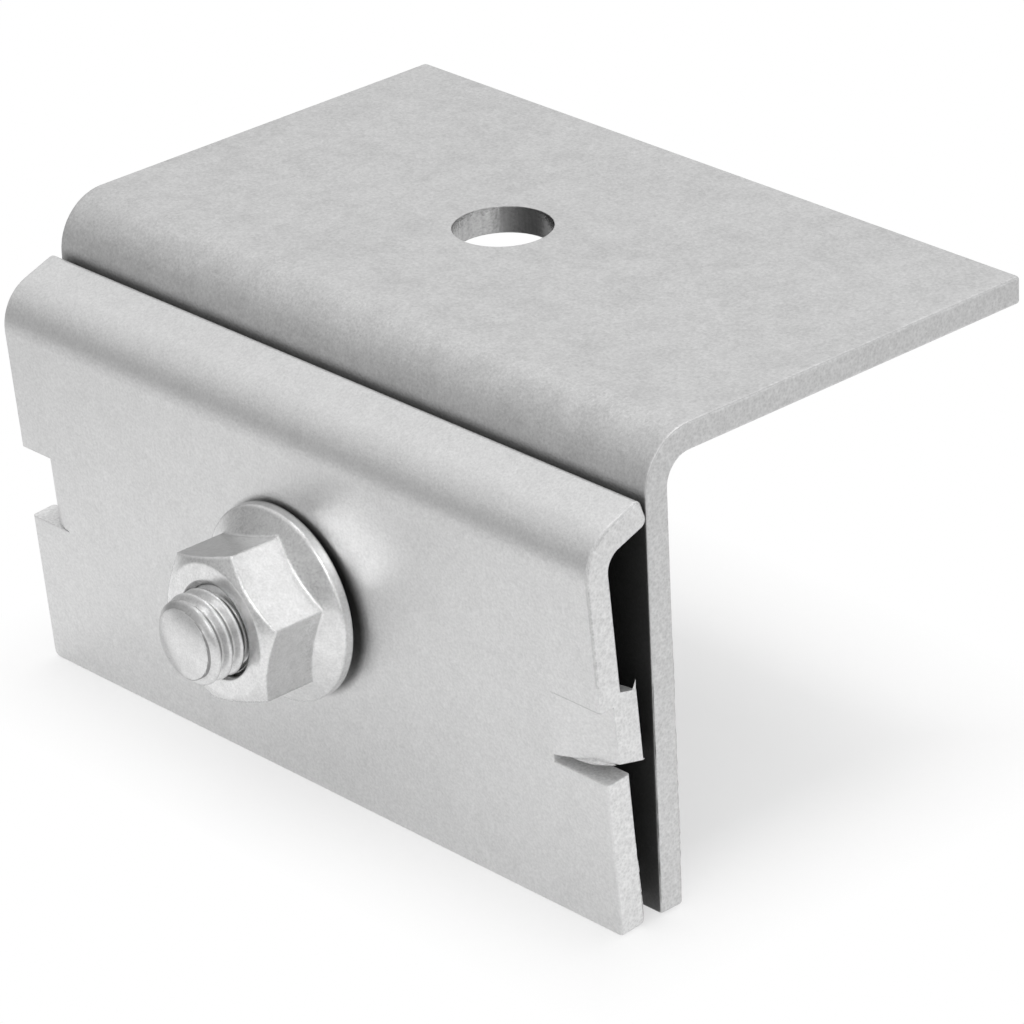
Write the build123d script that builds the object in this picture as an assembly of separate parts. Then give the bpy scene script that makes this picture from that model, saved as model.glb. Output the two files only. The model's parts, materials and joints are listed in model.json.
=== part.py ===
from build123d import *
import math
import os

# Standing seam clamp: a folded angle bracket and a clamp plate that nip the seam of a metal roof between
# them, drawn together by a carriage bolt and a flange nut.
#
# The origin is the middle of the leg's foot, on the face that meets the seam. +X runs along the fold,
# +Y runs back from the seam under the top flange, and +Z is up.

# Length of the bracket and of the clamp plate, which runs past it a little at each end
clamp_length = 75.0
plate_overrun = 0.1

# Angle bracket
bracket_sheet = 2.5
flange_depth = 44.0
leg_height = 43.3
bracket_fold_radius = 2.5
bracket_corner_radius = 0.4
edge_round = 0.3

# Fixing hole in the top flange
top_hole_diameter = 9.0
top_hole_x = -3.3
top_hole_y = 22.3

# Clamp plate: heights run up the plate from its foot
plate_sheet = 2.5
plate_lean = 4.2
jaw_gap = 1.93
plate_foot_drop = 0.13
lip_corner_height = 36.6
lip_fold_angle = 74.2
lip_fold_radius = 1.8
lip_heel_radius = 0.8
lip_toe_radius = 0.5
plate_corner_radius = 0.7
plate_hole_diameter = 9.0

# Lanced tabs at the plate's two ends
left_tab_length = 5.25
right_tab_length = 6.4
tab_foot_height = 14.7
left_tab_top_height = 21.8
right_tab_top_height = 21.5
tab_fold_radius = 1.2
left_tab_angle = 40.0
right_tab_angle = 14.0
left_tab_rise = 0.3
right_tab_rise = 1.1
right_tab_draw = 0.6
right_tab_tear = 0.75
right_tab_slope = 17.0

# Carriage bolt
bolt_x = -0.85
bolt_z = 18.75
bolt_diameter = 8.0
bolt_length = 20.5
bolt_end_chamfer = 0.8
neck_width = 8.0
neck_depth = 4.5
neck_corner_radius = 0.9
head_diameter = 20.0
head_height = 4.6
head_edge = 0.6

# Flange nut
nut_width = 13.0
nut_height = 8.0
nut_turned = 15.4
nut_flange_diameter = 17.9
nut_bearing_diameter = 16.2
nut_rim_height = 1.2
nut_under_rim = 0.3
nut_flange_angle = 28.0
nut_crown_angle = 30.0
nut_countersink = 0.45

# Clearances
touch_gap = 0.12
thread_clearance = 0.05
neck_clearance = 0.3
shear_gap = 0.08

plate_length = clamp_length + 2 * plate_overrun
lean = math.radians(plate_lean)
plate_place = Pos(0, -jaw_gap, -plate_foot_drop) * Rot(plate_lean, 0, 0)


def round_corners(face, corners):
    """Rounds a flat face's corners, each given as its point and its radius."""
    for point, radius in corners:
        face = fillet(face.vertices().sort_by_distance(point)[0], radius)
    return face


def side_profile(points, corners):
    """A closed outline in the YZ plane with some of its corners rounded."""
    spots = [Vector(0, y, z) for y, z in points]
    face = make_face(Polyline(*spots, close=True))
    return round_corners(face, [(spots[index], radius) for index, radius in corners])


def soften(edges):
    """Takes the sharpness off a sheet's sheared edges."""
    return fillet(edges, min(edge_round, bracket_sheet / 4, plate_sheet / 4))


def end_edges(solid, half_length):
    """The edges that bound a folded sheet's two end faces."""
    ends = solid.faces().filter_by(Axis.X)
    ends = [face for face in ends if abs(abs(face.center().X) - half_length) < 0.01]
    return ShapeList([edge for face in ends for edge in face.edges()])


def angle_bracket():
    """Leg and top flange, folded from one sheet, with the fixing hole and the bolt's square hole."""
    outline = [
        (0, 0),
        (0, leg_height),
        (flange_depth, leg_height),
        (flange_depth, leg_height - bracket_sheet),
        (bracket_sheet, leg_height - bracket_sheet),
        (bracket_sheet, 0),
    ]
    folds = [(1, bracket_fold_radius + bracket_sheet), (4, bracket_fold_radius)]
    solid = extrude(side_profile(outline, folds), clamp_length / 2, both=True)
    flange_corners = solid.edges().filter_by(Axis.Z).group_by(Axis.Y)[-1]
    leg_corners = solid.edges().filter_by(Axis.Y).group_by(Axis.Z)[0]
    solid = fillet(flange_corners + leg_corners, bracket_corner_radius)
    solid = soften(end_edges(solid, clamp_length / 2))
    flange_middle = leg_height - bracket_sheet / 2
    solid -= Pos(top_hole_x, top_hole_y, flange_middle) * Cylinder(top_hole_diameter / 2, 2 * bracket_sheet)
    window = neck_width + 2 * neck_clearance
    neck_hole = extrude(RectangleRounded(window, window, neck_corner_radius), bracket_sheet, both=True)
    solid -= Pos(bolt_x, bracket_sheet / 2, bolt_z) * Rot(90, 0, 0) * neck_hole
    return solid


def lip_length():
    """Length of the lip's outer face that brings its rounded heel up to the leg."""
    lip_rise = math.radians(90 - lip_fold_angle) + lean
    corner_y = -jaw_gap - plate_sheet * math.cos(lean) - lip_corner_height * math.sin(lean)
    heel_depth = (plate_sheet - lip_heel_radius) * math.sin(lip_rise)
    reach = -touch_gap - lip_heel_radius - corner_y - heel_depth
    return lip_heel_radius + reach / math.cos(lip_rise)


def plate_sheet_solid():
    """The flat of the clamp plate and its lip, standing on its foot with the back face at Y = 0."""
    lip_rise = math.radians(90 - lip_fold_angle)
    along = (math.cos(lip_rise), math.sin(lip_rise))
    across = (-math.sin(lip_rise), math.cos(lip_rise))
    outer = (-plate_sheet, lip_corner_height)
    toe = (outer[0] + lip_length() * along[0], outer[1] + lip_length() * along[1])
    heel = (toe[0] - plate_sheet * across[0], toe[1] - plate_sheet * across[1])
    inner_height = heel[1] - heel[0] * math.tan(lip_rise)
    outline = [(0, 0), (-plate_sheet, 0), outer, toe, heel, (0, inner_height)]
    corners = [
        (2, lip_fold_radius + plate_sheet),
        (3, lip_toe_radius),
        (4, lip_heel_radius),
        (5, lip_fold_radius),
    ]
    solid = extrude(side_profile(outline, corners), plate_length / 2, both=True)
    foot_corners = solid.edges().filter_by(Axis.Y).group_by(Axis.Z)[0]
    solid = fillet(foot_corners, plate_corner_radius)
    return soften(end_edges(solid, plate_length / 2))


def lanced_tab(side, length, top, angle, rise, draw=0, tear=0, slope=0):
    """A strip sheared out of the plate's end and bent back towards the leg.

    side is -1 or 1, top is the slot's upper edge, rise tilts the strip's lower edge and draw is how much
    the shearing has stretched it. tear is how far its torn upper edge stands above the slot, and slope
    tips both torn edges down behind.
    """
    root = plate_length / 2 - length
    bend = math.radians(angle)
    straight = length + draw - bend * (tab_fold_radius + plate_sheet / 2)
    overlap = plate_sheet / 2
    centre = Vector(root, tab_fold_radius, 0)

    def strip_face(radius):
        """One face of the strip: a flat start, the bend and the straight end."""
        start = Line((root - overlap, tab_fold_radius - radius), (root, tab_fold_radius - radius))
        turn = CenterArc(centre, radius, -90, angle)
        tip = turn @ 1 + Vector(math.cos(bend), math.sin(bend), 0) * straight
        return start, turn, Line(turn @ 1, tip), tip

    *front, front_tip = strip_face(tab_fold_radius + plate_sheet)
    *back, back_tip = strip_face(tab_fold_radius)
    near = Line(front[0] @ 0, back[0] @ 0)
    tip = Line(front_tip, back_tip)
    strip = extrude(make_face(Curve() + [*front, tip, *back, near]), lip_corner_height)
    far = root + length
    window = [
        Vector(root - overlap, 0, tab_foot_height + shear_gap),
        Vector(root, 0, tab_foot_height + shear_gap),
        Vector(far, 0, tab_foot_height + shear_gap + rise),
        Vector(far, 0, top + tear),
        Vector(root - overlap, 0, top + tear),
    ]
    cheek = extrude(make_face(Polyline(*window, close=True)), 2 * (length + plate_sheet), both=True)
    pivot = Pos(0, 0, (tab_foot_height + top) / 2)
    tab = strip & pivot * Rot(-slope, 0, 0) * pivot.inverse() * cheek
    return tab if side > 0 else mirror(tab, Plane.YZ)


def clamp_plate():
    """The loose jaw: a flat plate with a lip at its top, a bolt hole and a lanced tab at each end."""
    solid = plate_sheet_solid()
    on_foot = (Align.CENTER, Align.CENTER, Align.MIN)
    slots = [(-1, left_tab_length, left_tab_top_height), (1, right_tab_length, right_tab_top_height)]
    for side, length, top in slots:
        slot = Box(2 * length, 4 * plate_sheet, top - tab_foot_height, align=on_foot)
        solid -= Pos(side * plate_length / 2, 0, tab_foot_height) * slot
    solid += lanced_tab(-1, left_tab_length, left_tab_top_height, left_tab_angle, left_tab_rise)
    torn = {"draw": right_tab_draw, "tear": right_tab_tear, "slope": right_tab_slope}
    solid += lanced_tab(1, right_tab_length, right_tab_top_height, right_tab_angle, right_tab_rise, **torn)
    hole_height = (bolt_z + plate_foot_drop) / math.cos(lean) + plate_sheet / 2 * math.tan(lean)
    hole = Rot(90, 0, 0) * Cylinder(plate_hole_diameter / 2, 4 * plate_sheet)
    solid -= Pos(bolt_x, 0, hole_height) * hole
    return plate_place * solid


def carriage_bolt():
    """Round head behind the leg, square neck in the leg's hole and a shank through the plate."""
    crown_radius = (head_diameter / 2) ** 2 / (2 * (head_height - head_edge)) + (head_height - head_edge) / 2
    rim = (head_diameter / 2, -head_edge)
    crown = RadiusArc(rim, (0, -head_height), crown_radius)
    section = [Line((0, 0), (head_diameter / 2, 0)), Line((head_diameter / 2, 0), rim), crown]
    section.append(Line((0, -head_height), (0, 0)))
    head = revolve(Plane.XZ * make_face(Curve() + section), Axis.Z)
    neck = extrude(RectangleRounded(neck_width, neck_width, neck_corner_radius), neck_depth)
    shank = extrude(Circle(bolt_diameter / 2), bolt_length)
    shank = chamfer(shank.edges().sort_by(Axis.Z)[-1], bolt_end_chamfer)
    bolt = head + neck + shank
    return Pos(bolt_x, bracket_sheet, bolt_z) * Rot(90, 0, 0) * bolt


def nut_seat_y():
    """Where the nut's bearing face lies when the edge of its flange meets the leaning plate."""
    front = jaw_gap + plate_sheet / math.cos(lean) + (bolt_z + plate_foot_drop) * math.tan(lean)
    return -(front + nut_bearing_diameter / 2 * abs(math.tan(lean)) + touch_gap)


def flange_nut():
    """Hexagon nut with a conical flange, its outer face crowned and its bore countersunk."""
    bore = bolt_diameter / 2 + thread_clearance
    corner = nut_width / math.sqrt(3)
    crown = nut_width / 2 - nut_countersink
    crown_drop = (corner - crown) * math.tan(math.radians(nut_crown_angle))
    hexagon = extrude(RegularPolygon(corner, 6), nut_height)
    turned = [(0, 0), (corner, 0), (corner, nut_height - crown_drop), (crown, nut_height), (0, nut_height)]
    hexagon &= revolve(Plane.XZ * make_face(Polyline(*turned, close=True)), Axis.Z)
    rim = nut_flange_diameter / 2
    slope = math.tan(math.radians(nut_flange_angle))
    cone_foot = (rim, nut_rim_height)
    cone_top = (bore, nut_rim_height + (rim - bore) * slope)
    outline = [(0, 0), (nut_bearing_diameter / 2, 0), (rim, nut_under_rim), cone_foot, cone_top]
    outline.append((0, cone_top[1]))
    flange_face = make_face(Polyline(*outline, close=True))
    flange_face = round_corners(flange_face, [(Vector(*cone_foot), nut_under_rim)])
    nut = hexagon + revolve(Plane.XZ * flange_face, Axis.Z)
    mouth = bore + nut_countersink
    cutter = [(0, 0), (mouth, 0), (bore, nut_countersink), (bore, nut_height - nut_countersink)]
    cutter += [(mouth, nut_height), (0, nut_height)]
    nut -= revolve(Plane.XZ * make_face(Polyline(*cutter, close=True)), Axis.Z)
    return Pos(bolt_x, nut_seat_y(), bolt_z) * Rot(90, 0, 0) * Rot(0, 0, nut_turned) * nut


os.makedirs("parts", exist_ok=True)
pieces = {
    "angle_bracket": angle_bracket(),
    "clamp_plate": clamp_plate(),
    "carriage_bolt": carriage_bolt(),
    "flange_nut": flange_nut(),
}
for name, piece in pieces.items():
    export_step(piece, f"parts/{name}.step")
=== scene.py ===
# %% [markdown]
# # Standing seam clamp
#
# The clamp grips the upright seam of a metal roof. A folded angle bracket stands behind the seam, a
# loose clamp plate stands in front of it, and a carriage bolt with a flange nut draws the two
# together. The hard shapes come from the CAD model, which is loaded as a fixed frame. Blender adds
# what a CAD solid leaves out: real threads, torn burrs on the sheared edges and the finishes.

# %% Load the frame
import json
import math

import bmesh
import bpy
from mathutils import Matrix, Quaternion, Vector


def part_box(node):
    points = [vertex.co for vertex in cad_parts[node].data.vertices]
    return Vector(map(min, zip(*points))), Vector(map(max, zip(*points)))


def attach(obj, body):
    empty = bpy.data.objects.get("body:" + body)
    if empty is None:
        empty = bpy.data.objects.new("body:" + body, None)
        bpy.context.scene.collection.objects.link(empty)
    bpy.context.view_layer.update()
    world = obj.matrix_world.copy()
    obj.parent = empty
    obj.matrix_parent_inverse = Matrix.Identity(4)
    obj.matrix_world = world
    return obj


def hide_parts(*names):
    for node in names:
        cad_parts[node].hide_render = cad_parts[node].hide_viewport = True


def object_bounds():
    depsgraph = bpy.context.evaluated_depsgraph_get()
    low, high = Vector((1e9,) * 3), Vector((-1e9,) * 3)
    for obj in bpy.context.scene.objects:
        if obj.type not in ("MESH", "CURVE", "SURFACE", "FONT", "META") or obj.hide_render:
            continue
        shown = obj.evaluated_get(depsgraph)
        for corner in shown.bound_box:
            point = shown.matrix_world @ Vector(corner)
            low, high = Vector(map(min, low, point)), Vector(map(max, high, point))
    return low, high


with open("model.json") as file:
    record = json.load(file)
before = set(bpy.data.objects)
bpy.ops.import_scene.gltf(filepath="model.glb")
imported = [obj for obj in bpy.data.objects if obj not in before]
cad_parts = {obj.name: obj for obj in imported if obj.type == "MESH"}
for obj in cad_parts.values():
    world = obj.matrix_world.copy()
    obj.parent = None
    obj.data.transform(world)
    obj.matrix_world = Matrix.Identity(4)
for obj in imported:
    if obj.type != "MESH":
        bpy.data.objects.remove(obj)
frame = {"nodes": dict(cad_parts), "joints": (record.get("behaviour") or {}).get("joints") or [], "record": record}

MM = 0.001
cad_low, cad_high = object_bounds()
scene = bpy.context.scene


# %% [markdown]
# ## The camera first
#
# The photograph was taken with a long lens from the right, a little above the clamp. A camera fitted
# to the corners of the bracket gives the eye point, the direction and a slight roll. Setting the
# camera before anything else means that every later choice can be judged in the photograph's frame.

# %% Camera
camera_eye = Vector((0.33458, -0.27694, 0.23387))
camera_forward = Vector((-0.67462, 0.59633, -0.43506))
camera_roll = math.radians(-2.813)
camera_lens = 198.5
sensor_width = 36.0
nearest_seen, furthest_seen = 0.01, 20.0

camera_data = bpy.data.cameras.new("camera")
camera_data.lens = camera_lens
camera_data.sensor_width = sensor_width
camera_data.clip_start = nearest_seen
camera_data.clip_end = furthest_seen
camera = bpy.data.objects.new("camera", camera_data)
camera.rotation_mode = "QUATERNION"
camera.location = camera_eye
looking = camera_forward.to_track_quat("-Z", "Y")
camera.rotation_quaternion = looking @ Quaternion((0, 0, 1), camera_roll)
scene.collection.objects.link(camera)
scene.camera = camera
scene.view_settings.view_transform = "Standard"
print("camera at", tuple(round(v, 3) for v in camera_eye), "lens", camera_lens, "mm")


# %% [markdown]
# ## Small helpers for node trees
#
# Both the shapes and the finishes below are node trees. Written out in full, each node takes four or
# five lines, which hides the idea. Small helpers keep a tree readable: one makes a tree with named
# inputs and outputs, one adds a node and joins its sockets, and the rest add a step of arithmetic.

# %% Node helpers
def new_tree(name, kind, inputs, outputs):
    """A node tree with named sockets. Each input is (name, socket type, default or None)."""
    tree = bpy.data.node_groups.new(name, kind)
    for label, socket_type, default in inputs:
        socket = tree.interface.new_socket(label, in_out="INPUT", socket_type=socket_type)
        if default is not None:
            socket.default_value = default
    for label, socket_type in outputs:
        tree.interface.new_socket(label, in_out="OUTPUT", socket_type=socket_type)
    return tree, tree.nodes.new("NodeGroupInput"), tree.nodes.new("NodeGroupOutput")


def feed(tree, socket, value):
    """Joins a socket to another node's output, or sets it to a plain value."""
    if isinstance(value, bpy.types.NodeSocket):
        tree.links.new(value, socket)
    else:
        socket.default_value = value


def add(tree, kind, inputs=(), **settings):
    """Adds a node, sets its options and feeds its inputs, given as {name or number: value}."""
    made = tree.nodes.new(kind)
    for key, value in settings.items():
        setattr(made, key, value)
    for key, value in dict(inputs).items():
        feed(tree, made.inputs[key], value)
    return made


print("tree helpers ready")


# %% Arithmetic helpers
def calc(tree, operation, *values):
    """One step of arithmetic on numbers or sockets."""
    made = add(tree, "ShaderNodeMath", dict(enumerate(values)), operation=operation)
    return made.outputs[0]


def times(tree, *values):
    """The product of several numbers or sockets."""
    product = values[0]
    for value in values[1:]:
        product = calc(tree, "MULTIPLY", product, value)
    return product


def most(tree, *masks):
    """The strongest of several masks."""
    strongest = masks[0]
    for mask in masks[1:]:
        strongest = calc(tree, "MAXIMUM", strongest, mask)
    return strongest


def inverted(tree, mask):
    """1 where a mask is 0, and 0 where it is 1."""
    return calc(tree, "SUBTRACT", 1.0, mask)


def ramp(tree, value, low, high, to_low=0.0, to_high=1.0):
    """Maps low to high onto to_low to to_high, held at both ends."""
    values = {"Value": value, "From Min": low, "From Max": high, "To Min": to_low, "To Max": to_high}
    return add(tree, "ShaderNodeMapRange", values, clamp=True).outputs["Result"]


def over(tree, value, edge, softness):
    """1 where the value lies above an edge, 0 below it, with a soft step between."""
    return ramp(tree, value, edge - softness / 2, edge + softness / 2)


print("arithmetic helpers ready")


# %% [markdown]
# ## Screw threads with Geometry Nodes
#
# A thread is one tooth shape that follows a helix, so it is a rule rather than a drawing. It could be
# a small triangle swept along a spiral, but such a sweep ends in a blunt stub. Here a grid is rolled
# into a tube whose rows already climb with the helix, and each row gets the radius of the tooth. A
# cone then trims both ends, which gives the fading first thread of a real bolt.

# %% Thread surface
thread_steps = 16
thread_columns = 96
spare_turns = 2.0
root_end, crest_start = 0.24, 0.86
row_nudge = 0.0001


def pick(tree, kind, switch, plain, other):
    """Passes on the plain value or mesh, or the other one where the switch is on."""
    values = {"Switch": switch, "False": plain, "True": other}
    return add(tree, "GeometryNodeSwitch", values, input_type=kind).outputs[0]


def thread_radius(tree, put, row_turn, height):
    """The radius of a row: a tooth between the two radii, trimmed by a cone at both ends."""
    phase = calc(tree, "FRACT", calc(tree, "ADD", row_turn, row_nudge))
    tooth = calc(tree, "ABSOLUTE", calc(tree, "SUBTRACT", times(tree, phase, 2.0), 1.0))
    tooth = ramp(tree, tooth, root_end, crest_start)
    depth = calc(tree, "SUBTRACT", put["Outer Radius"], put["Inner Radius"])
    thread = calc(tree, "MULTIPLY_ADD", tooth, depth, put["Inner Radius"])
    from_end = calc(tree, "MINIMUM", height, calc(tree, "SUBTRACT", put["Length"], height))
    cone = times(tree, from_end, put["End Slope"])
    on_bolt = calc(tree, "MINIMUM", thread, calc(tree, "ADD", put["End Radius"], cone))
    in_bore = calc(tree, "MAXIMUM", thread, calc(tree, "SUBTRACT", put["End Radius"], cone))
    return pick(tree, "FLOAT", put["Inside"], on_bolt, in_bore)


def thread_wall(tree, put):
    """A grid rolled into a tube, with rows that climb by one pitch a turn."""
    turns = calc(tree, "ADD", calc(tree, "DIVIDE", put["Length"], put["Pitch"]), spare_turns)
    rows = calc(tree, "CEIL", times(tree, turns, float(thread_steps)))
    span = calc(tree, "DIVIDE", rows, float(thread_steps))
    sheet = add(tree, "GeometryNodeMeshGrid", {
        "Size X": 1.0, "Size Y": span,
        "Vertices X": thread_columns + 1, "Vertices Y": calc(tree, "ADD", rows, 1.0),
    })
    position = add(tree, "GeometryNodeInputPosition").outputs[0]
    place = add(tree, "ShaderNodeSeparateXYZ", {0: position}).outputs
    around = calc(tree, "ADD", place["X"], 0.5)
    row_turn = calc(tree, "ADD", place["Y"], times(tree, span, 0.5))
    first_turn = calc(tree, "ADD", put["Turn Offset"], 1.0)
    climb = calc(tree, "SUBTRACT", calc(tree, "ADD", row_turn, around), first_turn)
    height = times(tree, climb, put["Pitch"])
    height = calc(tree, "MINIMUM", calc(tree, "MAXIMUM", height, 0.0), put["Length"])
    radius = thread_radius(tree, put, row_turn, height)
    angle = times(tree, around, 2 * math.pi)
    spot = add(tree, "ShaderNodeCombineXYZ", {
        "X": times(tree, radius, calc(tree, "COSINE", angle)),
        "Y": times(tree, radius, calc(tree, "SINE", angle)),
        "Z": height,
    })
    shape = {"Geometry": sheet.outputs["Mesh"], "Position": spot.outputs[0]}
    return add(tree, "GeometryNodeSetPosition", shape)


print("a thread has", thread_steps, "rows a turn and", thread_columns, "columns")


# %% [markdown]
# The tree closes the tube. For the bolt, a disc goes on each end. For the nut, the Inside switch
# turns the wall's faces inwards and a plain sleeve closes it from outside, so that one tree makes
# both threads.

# %% Thread tree
thread_weld = 0.002 * MM


def join(tree, parts):
    """One mesh from several."""
    made = add(tree, "GeometryNodeJoinGeometry")
    for part in parts:
        tree.links.new(part.outputs[0], made.inputs[0])
    return made.outputs[0]


def lifted(tree, mesh, height):
    """The mesh, moved up along Z."""
    lift = add(tree, "ShaderNodeCombineXYZ", {"Z": height}).outputs[0]
    return add(tree, "GeometryNodeTransform", {"Geometry": mesh.outputs[0], "Translation": lift})


def build_thread_tree():
    inputs = [
        ("Outer Radius", "NodeSocketFloat", 4.0 * MM),
        ("Inner Radius", "NodeSocketFloat", 3.25 * MM),
        ("Pitch", "NodeSocketFloat", 1.25 * MM),
        ("Length", "NodeSocketFloat", 10.0 * MM),
        ("End Radius", "NodeSocketFloat", 3.2 * MM),
        ("End Slope", "NodeSocketFloat", 1.0),
        ("Turn Offset", "NodeSocketFloat", 0.0),
        ("Inside", "NodeSocketBool", False),
        ("Material", "NodeSocketMaterial", None),
    ]
    outputs = [("Geometry", "NodeSocketGeometry")]
    tree, given, result = new_tree("screw thread", "GeometryNodeTree", inputs, outputs)
    put = given.outputs
    wall = thread_wall(tree, put)

    round_end = {"Vertices": thread_columns, "Radius": put["End Radius"]}
    disc = add(tree, "GeometryNodeMeshCircle", round_end, fill_type="NGON")
    top = lifted(tree, disc, put["Length"])
    foot = add(tree, "GeometryNodeFlipFaces", {"Mesh": disc.outputs[0]})
    bolt_shell = join(tree, (wall, top, foot))

    bore = add(tree, "GeometryNodeFlipFaces", {"Mesh": wall.outputs[0]})
    sleeve = add(tree, "GeometryNodeMeshCylinder", {**round_end, "Depth": put["Length"]}, fill_type="NONE")
    sleeve = lifted(tree, sleeve, times(tree, put["Length"], 0.5))
    bore_shell = join(tree, (bore, sleeve))

    shell = pick(tree, "GEOMETRY", put["Inside"], bolt_shell, bore_shell)
    welded = add(tree, "GeometryNodeMergeByDistance", {"Geometry": shell, "Distance": thread_weld})
    real = add(tree, "GeometryNodeRealizeInstances", {"Geometry": welded.outputs[0]})
    smooth = add(tree, "GeometryNodeSetShadeSmooth", {"Geometry": real.outputs[0], "Shade Smooth": True})
    finish = {"Geometry": smooth.outputs[0], "Material": put["Material"]}
    painted = add(tree, "GeometryNodeSetMaterial", finish)
    tree.links.new(painted.outputs[0], result.inputs[0])
    return tree


thread_tree = build_thread_tree()
print("thread tree has", len(thread_tree.nodes), "nodes")


# %% [markdown]
# A modifier's inputs are set by each socket's identifier before the tree is first evaluated. The
# evaluated result is then copied to a plain mesh, so that nothing live is left on the piece.

# %% From a node tree to a plain mesh
def grow(name, tree, values):
    """Runs a geometry tree on an empty mesh and returns the result as a plain mesh."""
    holder = bpy.data.objects.new(name, bpy.data.meshes.new(name + " start"))
    scene.collection.objects.link(holder)
    modifier = holder.modifiers.new("shape", "NODES")
    modifier.node_group = tree
    for item in tree.interface.items_tree:
        if item.in_out == "INPUT" and item.name in values:
            modifier[item.identifier] = values[item.name]
    evaluated = holder.evaluated_get(bpy.context.evaluated_depsgraph_get())
    mesh = bpy.data.meshes.new_from_object(evaluated)
    holder.modifiers.clear()
    bpy.data.objects.remove(holder)
    mesh.name = name
    return mesh


def crisp(mesh, degrees):
    """Smooth shading that stays sharp at edges steeper than the given angle."""
    mesh.shade_smooth()
    mesh.set_sharp_from_angle(angle=math.radians(degrees))
    return mesh


def piece(name, mesh, body):
    """Links a finished mesh as a piece that rides on a CAD body."""
    made = bpy.data.objects.new(name, mesh)
    scene.collection.objects.link(made)
    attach(made, body)
    print(name, "has", len(mesh.polygons), "faces")
    return made


# %% [markdown]
# ## Shared effects for the finishes
#
# Sheet steel and plated fasteners share their effects: a fine matte grain, a torn texture on sheared
# edges, and bright arrises where the metal was rubbed. Each is a shader node group, so that it is
# built once and every material turns its own knobs. The grain is three noises: wide faint stains, a
# mottle of about a millimetre, and the grain itself.

# %% Matte grain group
grain_details = {"Stain": 5.0, "Mottle": 3.0, "Grain": 2.0}
grain_roughness = 0.6
stain_starts, stain_full = 0.42, 0.66
mottle_height = 1.5


def noise(tree, vector, scale, detail, roughness):
    """A noise texture's value."""
    values = {"Vector": vector, "Scale": scale, "Detail": detail, "Roughness": roughness}
    return add(tree, "ShaderNodeTexNoise", values).outputs["Fac"]


def swing(tree, value, amount):
    """A noise value made to swing round 0, by the amount each way."""
    return times(tree, calc(tree, "SUBTRACT", value, 0.5), times(tree, amount, 2.0))


def build_grain_group():
    inputs = [
        ("Vector", "NodeSocketVector", None),
        ("Stain Size", "NodeSocketFloat", 3.5 * MM),
        ("Mottle Size", "NodeSocketFloat", 1.1 * MM),
        ("Grain Size", "NodeSocketFloat", 0.26 * MM),
        ("Stain Amount", "NodeSocketFloat", 0.05),
        ("Mottle Amount", "NodeSocketFloat", 0.10),
        ("Grain Amount", "NodeSocketFloat", 0.10),
    ]
    outputs = [("Tone", "NodeSocketFloat"), ("Height", "NodeSocketFloat")]
    tree, given, result = new_tree("matte grain", "ShaderNodeTree", inputs, outputs)
    put = given.outputs
    noises = {}
    for kind, detail in grain_details.items():
        per_size = calc(tree, "DIVIDE", 1.0, put[kind + " Size"])
        noises[kind] = noise(tree, put["Vector"], per_size, detail, grain_roughness)
    stains = times(tree, ramp(tree, noises["Stain"], stain_starts, stain_full), put["Stain Amount"])
    mottle = swing(tree, noises["Mottle"], put["Mottle Amount"])
    grain = swing(tree, noises["Grain"], put["Grain Amount"])
    clean = calc(tree, "ADD", 1.0, calc(tree, "ADD", mottle, grain))
    tree.links.new(calc(tree, "SUBTRACT", clean, stains), result.inputs["Tone"])
    height = calc(tree, "ADD", noises["Grain"], times(tree, noises["Mottle"], mottle_height))
    tree.links.new(height, result.inputs["Height"])
    return tree


grain_group = build_grain_group()
print("grain group has", len(grain_group.nodes), "nodes")


# %% [markdown]
# A sheared edge is half burnished, half torn. Its texture is coarser than the rolled face, with
# small pits and bright points. Cellular noise gives the pits, and noise stretched along the punch's
# stroke gives the streaks in a punched wall.

# %% Sheared edge group
tear_detail, tear_roughness = 5.0, 0.7
streak_detail, streak_roughness = 4.0, 0.65
streak_stretch = (1.0, 1.0, 0.06)
pit_scale = 1.7
pit_share = 0.4


def build_shear_group():
    inputs = [
        ("Vector", "NodeSocketVector", None),
        ("Tear Size", "NodeSocketFloat", 0.45 * MM),
        ("Contrast", "NodeSocketFloat", 0.25),
        ("Streak Contrast", "NodeSocketFloat", 0.35),
    ]
    outputs = [("Tone", "NodeSocketFloat"), ("Streaks", "NodeSocketFloat"), ("Height", "NodeSocketFloat")]
    tree, given, result = new_tree("sheared edge", "ShaderNodeTree", inputs, outputs)
    put = given.outputs
    per_size = calc(tree, "DIVIDE", 1.0, put["Tear Size"])
    torn = noise(tree, put["Vector"], per_size, tear_detail, tear_roughness)
    cells = {"Vector": put["Vector"], "Scale": times(tree, per_size, pit_scale)}
    pits = add(tree, "ShaderNodeTexVoronoi", cells).outputs["Distance"]
    pits = times(tree, calc(tree, "SUBTRACT", pits, 0.5), pit_share)
    tears = calc(tree, "ADD", calc(tree, "SUBTRACT", torn, 0.5), pits)
    tone = calc(tree, "MULTIPLY_ADD", tears, times(tree, put["Contrast"], 2.0), 1.0)
    tree.links.new(tone, result.inputs["Tone"])
    tree.links.new(tears, result.inputs["Height"])
    stretched = {"Vector": put["Vector"], "Scale": streak_stretch}
    drawn = add(tree, "ShaderNodeMapping", stretched, vector_type="POINT").outputs[0]
    lines = noise(tree, drawn, per_size, streak_detail, streak_roughness)
    streaks = calc(tree, "ADD", 1.0, swing(tree, lines, put["Streak Contrast"]))
    tree.links.new(streaks, result.inputs["Streaks"])
    return tree


shear_group = build_shear_group()
print("shear group has", len(shear_group.nodes), "nodes")


# %% [markdown]
# An arris is found by comparing the true surface normal with one that is rounded over the edge. Where
# the two differ, the point is close to an edge. Noise breaks the line up, as handling does.

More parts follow.
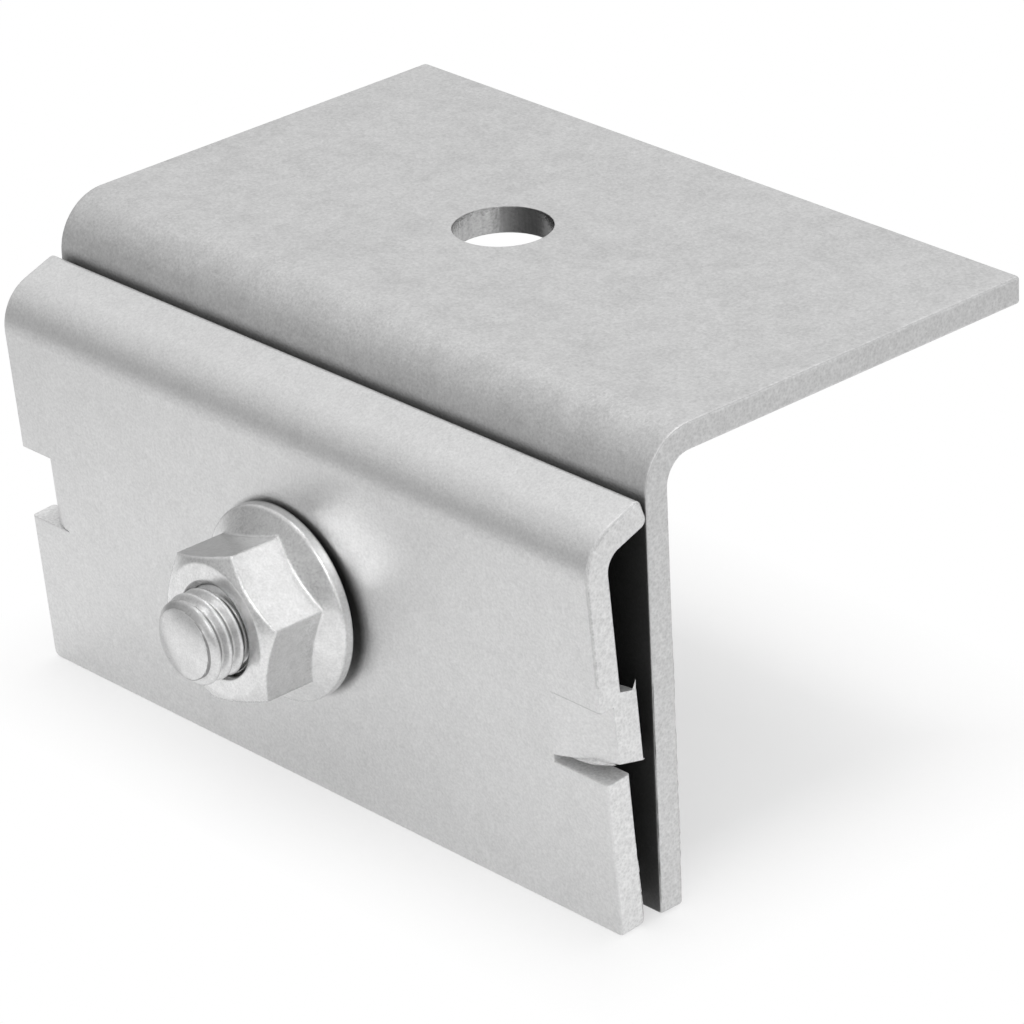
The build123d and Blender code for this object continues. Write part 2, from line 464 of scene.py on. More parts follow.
# %% Rubbed arris group
bevel_samples = 6
same_from, differs_from = 0.995, 0.86
break_scale, break_detail, break_roughness = 900.0, 3.0, 0.6
gap_from, gap_to = 0.35, 0.65


def build_arris_group():
    inputs = [
        ("Vector", "NodeSocketVector", None),
        ("Width", "NodeSocketFloat", 0.25 * MM),
        ("Break Up", "NodeSocketFloat", 0.5),
    ]
    outputs = [("Mask", "NodeSocketFloat"), ("Normal", "NodeSocketVector")]
    tree, given, result = new_tree("rubbed arris", "ShaderNodeTree", inputs, outputs)
    put = given.outputs
    rounded = add(tree, "ShaderNodeBevel", {"Radius": put["Width"]}, samples=bevel_samples).outputs[0]
    plain = add(tree, "ShaderNodeNewGeometry").outputs["Normal"]
    same = add(tree, "ShaderNodeVectorMath", {0: rounded, 1: plain}, operation="DOT_PRODUCT")
    edge = ramp(tree, same.outputs["Value"], same_from, differs_from)
    broken = noise(tree, put["Vector"], break_scale, break_detail, break_roughness)
    gaps = inverted(tree, ramp(tree, broken, gap_from, gap_to))
    kept = inverted(tree, times(tree, put["Break Up"], gaps))
    tree.links.new(times(tree, edge, kept), result.inputs["Mask"])
    tree.links.new(rounded, result.inputs["Normal"])
    return tree


arris_group = build_arris_group()
print("arris group has", len(arris_group.nodes), "nodes")


# %% [markdown]
# ## Where a point is, and which way it faces
#
# The finishes change from place to place: a sheared end looks different from the rolled face beside
# it. A painted mask could say where, but the places are all simple, such as every face that looks
# sideways or all that is near the screw's axis. So each mask is a short sum on the point's place and
# facing, read in the piece's own coordinates, and it moves with the piece.

# %% Material helpers
screw_axis = Vector(next(j for j in frame["joints"] if j["name"] == "nut_turn")["pos_m"])
hole_centre = Vector(next(m for m in frame["record"]["mounts"] if m["name"] == "top_hole")["pos_m"])


def metal(name):
    """A material with its shader and object coordinates ready."""
    made = bpy.data.materials.new(name)
    made.use_nodes = True
    shader = made.node_tree.nodes["Principled BSDF"]
    coordinates = made.node_tree.nodes.new("ShaderNodeTexCoord")
    return made, made.node_tree, shader, coordinates


def group(tree, source, inputs):
    """Places a shader group in a material."""
    made = tree.nodes.new("ShaderNodeGroup")
    made.node_tree = source
    for key, value in inputs.items():
        feed(tree, made.inputs[key], value)
    return made.outputs


def grey(tree, value):
    """A neutral colour from one value."""
    return add(tree, "ShaderNodeCombineColor", {"Red": value, "Green": value, "Blue": value}).outputs[0]


def mixed(tree, share, plain, other):
    """The plain value, or the other one where the share is 1."""
    return add(tree, "ShaderNodeMix", {"Factor": share, "A": plain, "B": other}).outputs[0]


def read_place(tree, coordinates):
    """Where a point is and which way it faces, in the piece's own axes."""
    spot = add(tree, "ShaderNodeSeparateXYZ", {0: coordinates.outputs["Object"]}).outputs
    facing = add(tree, "ShaderNodeSeparateXYZ", {0: coordinates.outputs["Normal"]}).outputs
    return spot, facing


def from_axis(tree, spot, axis, letters):
    """Distance from an upright or a level axis, measured along two of the letters X, Y and Z."""
    squares = []
    for letter in letters:
        offset = calc(tree, "SUBTRACT", spot[letter], getattr(axis, letter.lower()))
        squares.append(times(tree, offset, offset))
    return calc(tree, "SQRT", calc(tree, "ADD", *squares))


print("screw axis at", tuple(round(v / MM, 2) for v in screw_axis), "mm")


# %% [markdown]
# ## The bracket's masks
#
# The bracket's ends, its flange's back edge and its foot were sheared. Its fixing hole was punched,
# which leaves a smooth wall with upright streaks. Painted shade darkens the colour where shade falls:
# on the leg's front behind the clamp plate, and on the far side of the hole.

# %% Bracket masks
squarely, turning = 0.68, 0.2
flange_end_y, flange_end_fade = 43.4 * MM, 0.2 * MM
leg_foot_z = 0.6 * MM
hole_reach, hole_fade = 4.65 * MM, 0.1 * MM
wall_lean = 0.6
# Where shade is painted: the leg's front below the fold, and the hole's wall where it faces the front.
leg_front, leg_front_turning = 0.9, 0.1
far_side, far_side_turning = 0.78, 0.35
shade_top, shade_top_fade = 37.5 * MM, 3.0 * MM


def negative(tree, value):
    """The value with its sign changed."""
    return times(tree, value, -1.0)


def end_faces(tree, facing):
    """The sheared ends, which look along the fold."""
    return over(tree, calc(tree, "ABSOLUTE", facing["X"]), squarely, turning)


def hole_wall(tree, spot, facing):
    """The punched wall of the fixing hole."""
    near = inverted(tree, over(tree, from_axis(tree, spot, hole_centre, "XY"), hole_reach, hole_fade))
    upright = inverted(tree, over(tree, calc(tree, "ABSOLUTE", facing["Z"]), wall_lean, turning))
    return times(tree, near, upright)


def bracket_masks(tree, coordinates):
    """Sheared faces, the punched wall, the painted shade, and no arris to dull."""
    spot, facing = read_place(tree, coordinates)
    looks_back = over(tree, facing["Y"], squarely, turning)
    back_edge = times(tree, looks_back, over(tree, spot["Y"], flange_end_y, flange_end_fade))
    looks_down = over(tree, negative(tree, facing["Z"]), squarely, turning)
    foot = times(tree, looks_down, calc(tree, "LESS_THAN", spot["Z"], leg_foot_z))
    cut = most(tree, end_faces(tree, facing), back_edge, foot)
    # Painted shade on the leg's front behind the clamp plate and on the hole's far wall.
    to_front = negative(tree, facing["Y"])
    below_fold = inverted(tree, over(tree, spot["Z"], shade_top, shade_top_fade))
    shaded_leg = times(tree, over(tree, to_front, leg_front, leg_front_turning), below_fold)
    wall = hole_wall(tree, spot, facing)
    shaded_hole_wall = times(tree, wall, over(tree, to_front, far_side, far_side_turning))
    return cut, wall, most(tree, shaded_leg, shaded_hole_wall), 0.0


print("fixing hole at", tuple(round(v / MM, 2) for v in hole_centre), "mm")


# %% [markdown]
# ## The plate's masks
#
# The plate is sheared all round, and its two tabs were lanced, which tore the sheet above and below
# them. Painted shade darkens the colour in three places: a thin line for the shadow of the step above
# the right tab, a ring for the shadow round the nut's flange, and the whole back, which faces the leg.
# The arris along the lip's end is handled most, so it is dulled, or else the CAD fillet would catch
# the lamp as a thin white line.

# %% Plate masks
tab_top = 23.5 * MM
tab_root = 30.0 * MM
plate_foot_z = 0.5 * MM
# Painted shadow: a ring round the nut's flange and a thin line along the step above the right tab.
flange_shadow_radius, flange_shadow_fade = 9.0 * MM, 0.8 * MM
step_shadow_height, step_shadow_start, step_shadow_run_in = 21.12 * MM, 32.0 * MM, 1.5 * MM
step_shadow_width, step_shadow_fade = 0.09 * MM, 0.12 * MM
step_shadow_strength = 0.3
front_facing, back_facing = -0.5, 0.5
arris_from, arris_from_turning = 0.2, 0.1
arris_to, arris_to_turning = 0.95, 0.06


def step_shadow_line(tree, spot, facing):
    """A painted shadow line in the plate's front, along the step above the right tab."""
    off_line = calc(tree, "ABSOLUTE", calc(tree, "SUBTRACT", spot["Z"], step_shadow_height))
    line = inverted(tree, over(tree, off_line, step_shadow_width, step_shadow_fade))
    line = times(tree, line, over(tree, spot["X"], step_shadow_start, step_shadow_run_in), step_shadow_strength)
    return times(tree, line, calc(tree, "LESS_THAN", facing["Y"], front_facing))


def plate_masks(tree, coordinates):
    """Sheared and torn faces, no punched wall, the painted shade, and the lip's rounded arris."""
    spot, facing = read_place(tree, coordinates)
    level = over(tree, calc(tree, "ABSOLUTE", facing["Z"]), squarely, turning)
    foot = times(tree, level, calc(tree, "LESS_THAN", spot["Z"], plate_foot_z))
    outer = calc(tree, "GREATER_THAN", calc(tree, "ABSOLUTE", spot["X"]), tab_root)
    torn = times(tree, level, times(tree, outer, calc(tree, "LESS_THAN", spot["Z"], tab_top)))
    # Painted shade on the whole back, round the nut's flange and along the step above the right tab.
    from_screw = from_axis(tree, spot, screw_axis, "XZ")
    flange_shadow = inverted(tree, over(tree, from_screw, flange_shadow_radius, flange_shadow_fade))
    back = over(tree, facing["Y"], back_facing, turning)
    painted_shade = most(tree, back, flange_shadow, step_shadow_line(tree, spot, facing))
    sideways = calc(tree, "ABSOLUTE", facing["X"])
    begun = over(tree, sideways, arris_from, arris_from_turning)
    passed = over(tree, sideways, arris_to, arris_to_turning)
    on_lip = calc(tree, "GREATER_THAN", spot["Z"], tab_top)
    lip_arris = times(tree, calc(tree, "SUBTRACT", begun, passed), on_lip)
    return most(tree, end_faces(tree, facing), foot, torn), 0.0, painted_shade, lip_arris


print("witness ring of", round(flange_shadow_radius / MM, 1), "mm round the screw")


# %% [markdown]
# ## The sheet's finish
#
# The bracket and the plate are cut from matte, pickled sheet. Their solids are right as they are, so
# they keep their CAD meshes and only get a material. The masks choose between the rolled face and the
# sheared edge, and painted shade darkens the places the masks pick out and the whole punched wall,
# whose streaks are its own. The plate is the brighter of the two.
# In the list, the two tones are those of the rolled face and of the sheared edge.

# %% Sheet material
sheet_arris = {"Width": 0.22 * MM, "Break Up": 0.6}
arris_gleam = 0.04
torn_dullness = 0.60
arris_dulling = 0.38
punch_polish = 0.38
# Painted shade: how far the masked places are darkened, and how far the whole punched wall is.
painted_shade_darkening = 0.68
punched_wall_shade = 0.33
sheet_bump = {"Strength": 0.5, "Distance": 0.05 * MM}


def sheet_tone(tree, face, torn, arris, masks, tones):
    """How bright the bare metal is, from the face's and the sheared edge's tones, less the painted shade."""
    cut, punched, painted_shade, lip_arris = masks
    face_tone = times(tree, face["Tone"], tones[0])
    torn_tone = times(tree, torn["Tone"], tones[1])
    tone = mixed(tree, cut, face_tone, torn_tone)
    # Painted shade darkens the masked places and the whole punched wall; the streaks are the wall's own.
    shade_factor = inverted(tree, times(tree, painted_shade, painted_shade_darkening))
    drawn = times(tree, torn["Streaks"], 1.0 - punched_wall_shade)
    tone = times(tree, tone, times(tree, shade_factor, mixed(tree, punched, 1.0, drawn)))
    return calc(tree, "ADD", tone, times(tree, arris["Mask"], arris_gleam))


def sheet_roughness(tree, dullness, arris, masks):
    """How dull the metal is: torn faces and rubbed arrises are duller, a punched wall is smoother."""
    cut, punched, painted_shade, lip_arris = masks
    rough = calc(tree, "ADD", dullness, times(tree, cut, torn_dullness - dullness))
    rough = calc(tree, "ADD", rough, times(tree, most(tree, arris["Mask"], lip_arris), arris_dulling))
    return calc(tree, "SUBTRACT", rough, times(tree, punched, punch_polish))


def build_sheet_material(name, find_masks, tones, dullness, marks):
    made, tree, shader, coordinates = metal(name)
    place = coordinates.outputs["Object"]
    face = group(tree, grain_group, {"Vector": place, **marks})
    torn = group(tree, shear_group, {"Vector": place})
    arris = group(tree, arris_group, {"Vector": place, **sheet_arris})
    masks = find_masks(tree, coordinates)
    tone = sheet_tone(tree, face, torn, arris, masks, tones)
    tree.links.new(grey(tree, tone), shader.inputs["Base Color"])
    tree.links.new(sheet_roughness(tree, dullness, arris, masks), shader.inputs["Roughness"])
    shader.inputs["Metallic"].default_value = 1.0
    height = mixed(tree, masks[0], face["Height"], torn["Height"])
    bump = add(tree, "ShaderNodeBump", {**sheet_bump, "Height": height, "Normal": arris["Normal"]})
    tree.links.new(bump.outputs[0], shader.inputs["Normal"])
    return made


stained = {"Stain Amount": 0.07, "Mottle Amount": 0.08, "Grain Amount": 0.24}
rubbed = {"Stain Amount": 0.03, "Mottle Amount": 0.05, "Grain Amount": 0.18}
sheet_finishes = [
    ("angle_bracket", bracket_masks, (0.63, 0.70), 0.52, stained),
    ("clamp_plate", plate_masks, (0.74, 0.81), 0.42, rubbed),
]
for name, find_masks, tones, dullness, marks in sheet_finishes:
    finish = build_sheet_material(name.replace("_", " ") + " steel", find_masks, tones, dullness, marks)
    frame["nodes"][name].material_slots[0].material = finish
    print("sheet finish on", name)


# %% [markdown]
# ## The fasteners' finish
#
# The nut and bolt are zinc plated, brighter and smoother than the sheet. A plated face still has a
# faint grain from the blank beneath it, and its corners are soft. Painted shade darkens the grooves
# of the thread and the nut's mouth: what lies close to the screw's axis and faces sideways is
# darker.

# %% Fastener material
plating_marks = {
    "Stain Size": 1.6 * MM, "Mottle Size": 0.7 * MM, "Grain Size": 0.2 * MM,
    "Stain Amount": 0.06, "Mottle Amount": 0.14, "Grain Amount": 0.24,
}
plating_arris = {"Width": 0.40 * MM, "Break Up": 0.4}
plating_gleam = 0.08
plating_bump = {"Strength": 0.08, "Distance": 0.03 * MM}
plating_heights = (0.4, 1.1)
smoother, duller = 0.05, 0.07
groove_shade_fade = 0.5 * MM
groove_shade_darkening = 0.6
end_on, end_turning = 0.8, 0.2


def thread_painted_shade(tree, coordinates, shaded_radius):
    """Painted shade close to the screw's axis, on what faces away from it."""
    spot, facing = read_place(tree, coordinates)
    inner = inverted(tree, over(tree, from_axis(tree, spot, screw_axis, "XZ"), shaded_radius, groove_shade_fade))
    sideways = inverted(tree, over(tree, calc(tree, "ABSOLUTE", facing["Y"]), end_on, end_turning))
    return times(tree, inner, sideways, groove_shade_darkening)


def build_fastener_material(name, base, roughness, shaded_radius):
    made, tree, shader, coordinates = metal(name)
    place = coordinates.outputs["Object"]
    face = group(tree, grain_group, {"Vector": place, **plating_marks})
    arris = group(tree, arris_group, {"Vector": place, **plating_arris})
    gleam = times(tree, arris["Mask"], plating_gleam)
    tone = calc(tree, "ADD", times(tree, face["Tone"], base), gleam)
    # Painted shade in the thread's grooves and the nut's mouth.
    tone = times(tree, tone, inverted(tree, thread_painted_shade(tree, coordinates, shaded_radius)))
    tree.links.new(grey(tree, tone), shader.inputs["Base Color"])
    rough = ramp(tree, face["Height"], *plating_heights, roughness - smoother, roughness + duller)
    tree.links.new(rough, shader.inputs["Roughness"])
    shader.inputs["Metallic"].default_value = 1.0
    relief = {**plating_bump, "Height": face["Height"], "Normal": arris["Normal"]}
    bump = add(tree, "ShaderNodeBump", relief)
    tree.links.new(bump.outputs[0], shader.inputs["Normal"])
    return made


nut_finish = build_fastener_material("nut zinc plate", 0.80, 0.16, 4.6 * MM)
bolt_finish = build_fastener_material("bolt zinc plate", 0.78, 0.24, 3.75 * MM)
frame["nodes"]["flange_nut"].material_slots[0].material = nut_finish
frame["nodes"]["carriage_bolt"].material_slots[0].material = bolt_finish
print("fastener finish has", len(nut_finish.node_tree.nodes), "nodes")


# %% [markdown]
# ## The bolt
#
# In the CAD model the shank is a smooth rod. The real one is threaded up to the plate, and its last
# turn fades into the chamfer. The head and the square neck are copied from the CAD mesh, the smooth
# shank is cut off the copy, and the grown thread takes its place.

# %% Bolt head and neck
thread_start_y = -1.0 * MM
neck_end_y = -2.0 * MM
cad_weld = 0.001 * MM
cut_slack = 0.01 * MM
along_bolt = Matrix.Rotation(math.radians(90), 4, "X")


def seat(mesh, y):
    """Turns a mesh made along Z so that it runs along the bolt, out from the leg, starting at y."""
    mesh.transform(Matrix.Translation((screw_axis.x, y, screw_axis.z)) @ along_bolt)
    return mesh


def painted_mesh(name, work, finish):
    """Turns a finished bmesh into a mesh with one material."""
    mesh = bpy.data.meshes.new(name)
    work.to_mesh(mesh)
    work.free()
    mesh.materials.append(finish)
    return mesh


def head_and_neck():
    """The bolt's CAD mesh without its smooth shank, closed again."""
    work = bmesh.new()
    work.from_mesh(frame["nodes"]["carriage_bolt"].data)
    bmesh.ops.remove_doubles(work, verts=work.verts, dist=cad_weld)
    shank = [v for v in work.verts if v.co.y < neck_end_y - cut_slack]
    bmesh.ops.delete(work, geom=shank, context="VERTS")
    bmesh.ops.holes_fill(work, edges=[e for e in work.edges if e.is_boundary], sides=0)
    bmesh.ops.recalc_face_normals(work, faces=work.faces)
    return crisp(painted_mesh("bolt head and neck", work, bolt_finish), degrees=30)


bolt_head = head_and_neck()
print("bolt head and neck have", len(bolt_head.polygons), "faces")


# %% Bolt with its thread
pitch = 1.25 * MM
bolt_low, bolt_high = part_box("carriage_bolt")
bolt_thread = grow("bolt thread", thread_tree, {
    "Outer Radius": 4.0 * MM,
    "Inner Radius": 3.25 * MM,
    "Pitch": pitch,
    "Length": thread_start_y - bolt_low.y,
    "End Radius": 3.15 * MM,
    "End Slope": 1.2,
    "Turn Offset": 0.0,
    "Inside": False,
    "Material": bolt_finish,
})
whole_bolt = bmesh.new()
whole_bolt.from_mesh(bolt_head)
whole_bolt.from_mesh(crisp(seat(bolt_thread, thread_start_y), degrees=40))
threaded_mesh = painted_mesh("threaded bolt", whole_bolt, bolt_finish)
bolt = piece("threaded_bolt", threaded_mesh, "bracket")
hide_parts("carriage_bolt")
print("bolt runs from", round(bolt_low.y / MM, 2), "to", round(bolt_high.y / MM, 2), "mm")


# %% [markdown]
# ## The nut's inner thread
#
# The nut's solid is right from outside, so it stays. Its bore is smooth at the bolt's outer size, so
# a thin threaded sleeve is set into it. The offset in turns keeps the two threads in mesh: where the
# bolt has a crest, the nut has a groove. The pair then turns as one screw.

# %% Nut thread
nut_low, nut_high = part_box("flange_nut")
mouth_depth = 0.45 * MM
sleeve_start_y = nut_high.y - mouth_depth
turns_between = (thread_start_y - sleeve_start_y) / pitch
nut_thread = grow("nut thread", thread_tree, {
    "Outer Radius": 4.05 * MM,
    "Inner Radius": 3.35 * MM,
    "Pitch": pitch,
    "Length": nut_high.y - nut_low.y - 2 * mouth_depth,
    "End Radius": 4.06 * MM,
    "End Slope": 1.2,
    "Turn Offset": turns_between - math.floor(turns_between),
    "Inside": True,
    "Material": nut_finish,
})
piece("nut_thread", crisp(seat(nut_thread, sleeve_start_y), degrees=40), "nut")
print("nut thread starts", round(turns_between, 3), "turns from the bolt's")


# %% [markdown]
# ## Torn burrs
#
# Where the plate's tabs were lanced, the sheet tore and left slivers of metal behind, and the sheared
# ends carry a fine ragged burr. A burr follows an edge, so it is one rule too: a three-sided strip
# that starts from nothing, rises to a tip and dies away, with seeded noise for its ragged crest. The
# strip is a grid of four lines. Line 1 is the crest, line 2 the far root, and lines 0 and 3 share the
# near root, so that the strip closes.

# %% Burr outline
burr_steps = 48
ragged_scale, ragged_detail = 14.0, 3.0
ragged_from, ragged_to = 0.3, 0.7


def only_line(tree, column, number):
    """1 on one line of the grid and 0 on the others."""
    off = calc(tree, "ABSOLUTE", calc(tree, "SUBTRACT", column, number))
    return inverted(tree, calc(tree, "MINIMUM", off, 1.0))


def burr_swell(tree, put, along):
    """0 at both ends and 1 at the peak."""
    rise = calc(tree, "DIVIDE", along, put["Peak"])
    fall = calc(tree, "DIVIDE", inverted(tree, along), inverted(tree, put["Peak"]))
    tent = calc(tree, "MAXIMUM", calc(tree, "MINIMUM", rise, fall), 0.0)
    return calc(tree, "POWER", tent, put["Fullness"])


def ragged_crest(tree, put, along):
    """1 where the crest is whole, and less where it is torn away."""
    seeded = {"W": calc(tree, "MULTIPLY_ADD", along, ragged_scale, put["Seed"]), "Detail": ragged_detail}
    noise_line = add(tree, "ShaderNodeTexNoise", seeded, noise_dimensions="1D").outputs["Fac"]
    return inverted(tree, times(tree, put["Ragged"], ramp(tree, noise_line, ragged_from, ragged_to)))


print("a burr has", burr_steps, "steps")


# %% Burr tree
burr_weld = 0.001 * MM


def vector(tree, operation, *values):
    """One step of arithmetic on vectors."""
    made = add(tree, "ShaderNodeVectorMath", dict(enumerate(values)), operation=operation)
    return made.outputs[0]


def scaled(tree, source, factor):
    """A vector made longer or shorter."""
    return add(tree, "ShaderNodeVectorMath", {0: source, "Scale": factor}, operation="SCALE").outputs[0]


def build_burr_tree():
    inputs = [
        ("Start", "NodeSocketVector", None),
        ("End", "NodeSocketVector", None),
        ("Crest", "NodeSocketVector", None),
        ("Width", "NodeSocketFloat", 0.2 * MM),
        ("Peak", "NodeSocketFloat", 0.5),
        ("Fullness", "NodeSocketFloat", 0.6),
        ("Ragged", "NodeSocketFloat", 0.5),
        ("Seed", "NodeSocketFloat", 1.0),
        ("Material", "NodeSocketMaterial", None),
    ]
    outputs = [("Geometry", "NodeSocketGeometry")]
    tree, given, result = new_tree("torn burr", "GeometryNodeTree", inputs, outputs)
    put = given.outputs
    grid = {"Size X": 1.0, "Size Y": 3.0, "Vertices X": burr_steps + 1, "Vertices Y": 4}
    strip = add(tree, "GeometryNodeMeshGrid", grid)
    position = add(tree, "GeometryNodeInputPosition").outputs[0]
    spot = add(tree, "ShaderNodeSeparateXYZ", {0: position}).outputs
    along = calc(tree, "ADD", spot["X"], 0.5)
    column = calc(tree, "ADD", spot["Y"], 1.5)
    swell = burr_swell(tree, put, along)
    height = times(tree, swell, ragged_crest(tree, put, along))
    is_tip = only_line(tree, column, 1.0)
    is_far = only_line(tree, column, 2.0)
    side = calc(tree, "SUBTRACT", calc(tree, "ADD", times(tree, is_far, 2.0), is_tip), 1.0)

    run = vector(tree, "SUBTRACT", put["End"], put["Start"])
    across = vector(tree, "NORMALIZE", vector(tree, "CROSS_PRODUCT", run, put["Crest"]))
    root = vector(tree, "ADD", put["Start"], scaled(tree, run, along))
    half = times(tree, times(tree, put["Width"], 0.5), swell)
    root = vector(tree, "ADD", root, scaled(tree, across, times(tree, side, half)))
    placed = vector(tree, "ADD", root, scaled(tree, put["Crest"], times(tree, is_tip, height)))
    shaped = add(tree, "GeometryNodeSetPosition", {"Geometry": strip.outputs["Mesh"], "Position": placed})
    weld = {"Geometry": shaped.outputs[0], "Distance": burr_weld}
    welded = add(tree, "GeometryNodeMergeByDistance", weld)
    real = add(tree, "GeometryNodeRealizeInstances", {"Geometry": welded.outputs[0]})
    finish = {"Geometry": real.outputs[0], "Material": put["Material"]}
    painted = add(tree, "GeometryNodeSetMaterial", finish)
    tree.links.new(painted.outputs[0], result.inputs[0])
    return tree


burr_tree = build_burr_tree()
print("burr tree has", len(burr_tree.nodes), "nodes")


# %% [markdown]
# Each burr is one line of numbers, in millimetres: where it starts and ends, how far its crest stands
# out and how wide its root is. Then come where along it the peak is, how full it is and how ragged.
# The first is the thorn at the right tab's upper corner, and the second curls along its lower edge.

# %% Burrs on the plate and the bracket
seed_step = 3.7


def grow_burrs(name, body, carrier, burrs):
    """One piece with all the burrs of a body, closed and facing outwards."""
    finish = frame["nodes"][carrier].material_slots[0].material
    work = bmesh.new()
    for number, (start, end, crest, width, peak, fullness, ragged) in enumerate(burrs):
        work.from_mesh(grow(name, burr_tree, {
            "Start": Vector(start) * MM, "End": Vector(end) * MM, "Crest": Vector(crest) * MM,
            "Width": width * MM, "Peak": peak, "Fullness": fullness, "Ragged": ragged,
            "Seed": seed_step * number + 1.0, "Material": finish,
        }))
    bmesh.ops.recalc_face_normals(work, faces=work.faces)
    return piece(name, crisp(painted_mesh(name, work, finish), degrees=50), body)


plate_tears = [
    ((37.50, -2.60, 21.68), (37.50, -1.90, 21.86), (0.00, 0.16, 0.98), 0.30, 0.75, 1.6, 0.0),
    ((33.20, -5.12, 15.22), (37.30, -4.20, 15.72), (0.26, -0.52, 0.10), 0.60, 0.45, 0.7, 0.30),
    ((36.90, -1.75, 15.34), (37.60, -1.55, 15.28), (0.10, 0.50, -0.10), 0.25, 0.70, 0.8, 0.3),
    ((37.52, -2.05, 0.80), (37.52, -3.30, 14.40), (0.14, 0.03, 0.00), 0.16, 0.40, 0.3, 0.8),
]
leg_tears = [
    ((37.40, 2.40, 0.80), (37.40, 2.40, 25.0), (0.12, 0.06, 0.00), 0.20, 0.30, 0.3, 0.8),
    ((37.40, 0.10, 0.80), (37.40, 0.10, 22.0), (0.12, -0.04, 0.00), 0.20, 0.30, 0.3, 0.8),
]
grow_burrs("plate_burrs", "plate", "clamp_plate", plate_tears)
grow_burrs("bracket_burrs", "bracket", "angle_bracket", leg_tears)


# %% [markdown]
# ## The floor
#
# A catalogue photograph stands on white paper. Under the clamp the paper shows its own light, so the
# shadow stays, and further out the camera sees plain white, as in a cut-out picture. Light Path makes
# that white: it is added for the eye and for reflections, never as light on the clamp. The paper's
# colour is painted darker away from the clamp, a painted falloff of light, and the folds mirror that
# as a soft dark stripe.

# %% Floor
floor_z = cad_low.z
floor_reach = 3
corners = [(-1, -1), (1, -1), (1, 1), (-1, 1)]
floor_mesh = bpy.data.meshes.new("floor")
floor_mesh.from_pydata([(x * floor_reach, y * floor_reach, floor_z) for x, y in corners], [], [(0, 1, 2, 3)])
floor = bpy.data.objects.new("floor", floor_mesh)
scene.collection.objects.link(floor)

bracket_low, bracket_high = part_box("angle_bracket")
plate_low, plate_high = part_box("clamp_plate")
bracket_spot = ((bracket_low.x + bracket_high.x) / 2, (bracket_low.y + bracket_high.y) / 2, floor_z)
footprint = {"X": (bracket_low.x, bracket_high.x), "Y": (plate_low.y, bracket_high.y)}
print("floor at", round(floor_z / MM, 2), "mm")


# %% Floor material
paper_marks = {"Stain Amount": 0.0, "Mottle Amount": 0.002, "Grain Amount": 0.002}
paper_falloff_distances, paper_falloff_tones = (0.06, 0.24), (0.96, 0.28)
white_distances, white_shares = (-8 * MM, 10 * MM), (0.35, 1.0)
mirrored_share = 0.2


def beyond_footprint(tree, coordinates):
    """How far a point of the floor lies outside the clamp's footprint, below 0 under the clamp."""
    spot = read_place(tree, coordinates)[0]
    sides = []
    for letter, (low, high) in footprint.items():
        off_middle = calc(tree, "ABSOLUTE", calc(tree, "SUBTRACT", spot[letter], (low + high) / 2))
        sides.append(calc(tree, "SUBTRACT", off_middle, (high - low) / 2))
    return most(tree, *sides)


def build_paper():
    made, tree, shader, coordinates = metal("white table")
    place = coordinates.outputs["Object"]
    paper = group(tree, grain_group, {"Vector": place, **paper_marks})
    away = add(tree, "ShaderNodeVectorMath", {0: place, 1: bracket_spot}, operation="DISTANCE")
    # Painted falloff of light: the paper's colour grows darker away from the clamp.
    tone = ramp(tree, away.outputs["Value"], *paper_falloff_distances, *paper_falloff_tones)
    tree.links.new(grey(tree, times(tree, paper["Tone"], tone)), shader.inputs["Base Color"])
    shader.inputs["Roughness"].default_value = 0.9
    shader.inputs["Specular IOR Level"].default_value = 0.1
    rays = tree.nodes.new("ShaderNodeLightPath").outputs
    white = ramp(tree, beyond_footprint(tree, coordinates), *white_distances, *white_shares)
    seen = times(tree, rays["Is Camera Ray"], white)
    mirrored = most(tree, rays["Is Glossy Ray"], rays["Is Transmission Ray"])
    share = most(tree, seen, times(tree, mirrored, mirrored_share))
    plain_white = add(tree, "ShaderNodeEmission", {"Color": (1.0, 1.0, 1.0, 1.0), "Strength": 1.0})
    blend = add(tree, "ShaderNodeMixShader", {0: share, 1: shader.outputs[0], 2: plain_white.outputs[0]})
    tree.links.new(blend.outputs[0], tree.nodes["Material Output"].inputs["Surface"])
    return made


floor_mesh.materials.append(build_paper())
print("the camera sees plain white from", round(white_distances[1] / MM, 1), "mm beyond the clamp")


# %% [markdown]
# ## The light
#
# The clamp stands in a white tent. The world is one smooth ramp from bright to dark along a single
# direction, and the dark end lies low at the front left, where the tent is open. The folds mirror that
# change, which is what makes bare metal look rounded.

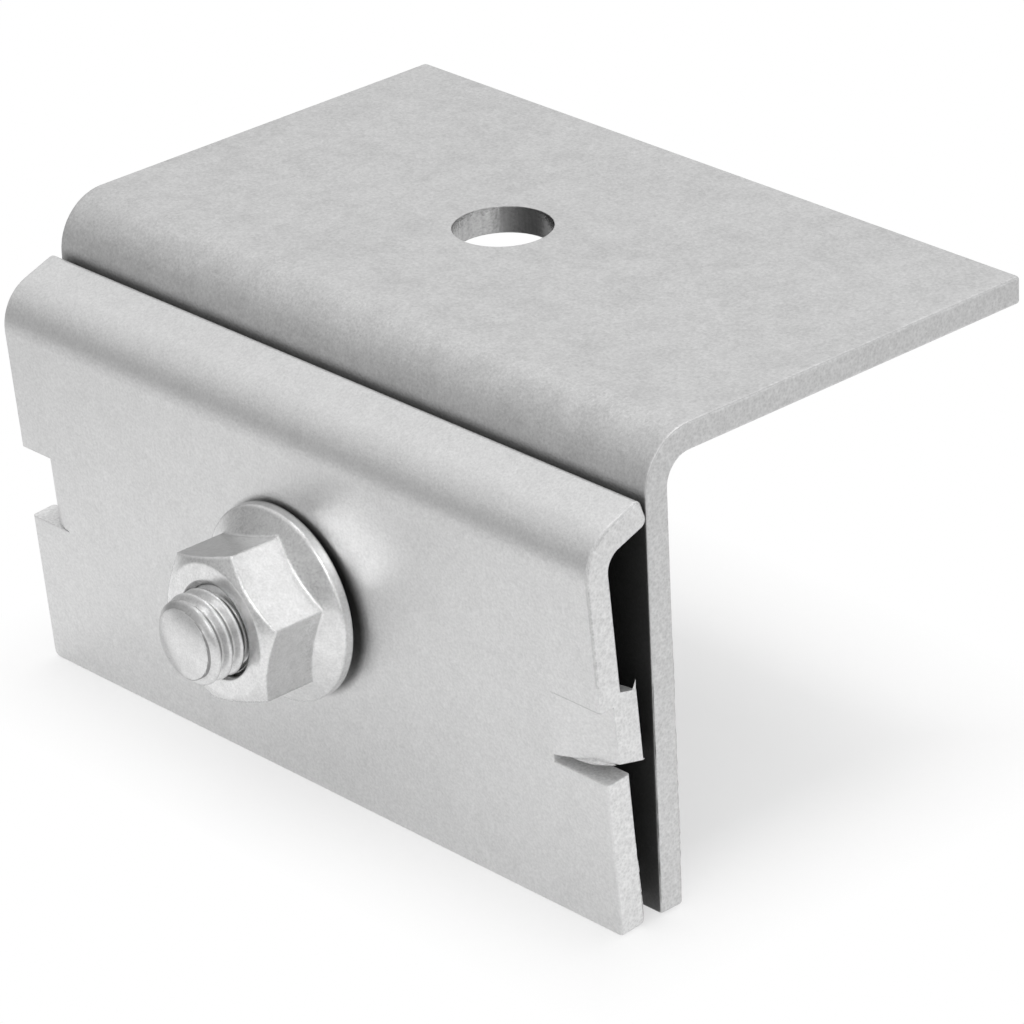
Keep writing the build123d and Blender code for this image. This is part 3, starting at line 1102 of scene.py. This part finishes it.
# %% World
bright_side = Vector((0.50, 0.50, 0.70)).normalized()
stops = [
    (0.0, 0.34), (0.20, 0.40), (0.27, 0.54), (0.40, 0.74),
    (0.52, 0.82), (0.64, 0.87), (0.80, 0.88), (1.0, 0.90),
]

world = bpy.data.worlds.new("white tent")
scene.world = world
world.use_nodes = True
sky = world.node_tree
background = sky.nodes["Background"]
direction = add(sky, "ShaderNodeTexCoord").outputs["Generated"]
towards_light = add(sky, "ShaderNodeVectorMath", {0: direction, 1: bright_side}, operation="DOT_PRODUCT")
along_ramp = calc(sky, "MULTIPLY_ADD", towards_light.outputs["Value"], 0.5, 0.5)
tent = add(sky, "ShaderNodeValToRGB", {0: along_ramp})
while len(tent.color_ramp.elements) < len(stops):
    tent.color_ramp.elements.new(0.5)
for element, (position, value) in zip(tent.color_ramp.elements, stops):
    element.position = position
    element.color = (value, value, value, 1.0)
sky.links.new(tent.outputs["Color"], background.inputs["Color"])
background.inputs["Strength"].default_value = 1.0
print("world ramp has", len(stops), "stops")


# %% [markdown]
# Two large lamps add direction: one overhead for the shadow under the flange, and a weak one at the
# front right for the glare beside the nut. Both stay weak enough that no view of the pale steel turns
# plain white.

# %% Lamps
lamp_size = 0.45
lamps = [
    ("front right", (0.45, -0.70, 0.60), 1.2),
    ("overhead", (-0.08, 0.23, 1.10), 2.0),
]


def soft_lamp(name, place, target, size, power):
    """A square soft lamp that looks at a point."""
    data = bpy.data.lights.new(name, "AREA")
    data.shape = "SQUARE"
    data.size = size
    data.energy = power
    lamp = bpy.data.objects.new(name, data)
    lamp.location = place
    lamp.rotation_mode = "QUATERNION"
    lamp.rotation_quaternion = (target - Vector(place)).to_track_quat("-Z", "Y")
    scene.collection.objects.link(lamp)


middle = (cad_low + cad_high) / 2
for name, place, power in lamps:
    soft_lamp(name, place, middle, lamp_size, power)
print(len(lamps), "lamps look at", tuple(round(v / MM, 1) for v in middle), "mm")


# %% [markdown]
# ## Finish
#
# The box of the CAD model is printed.

# %% Sizes and finish
print("cad box", [round(v / MM, 2) for v in cad_high - cad_low])
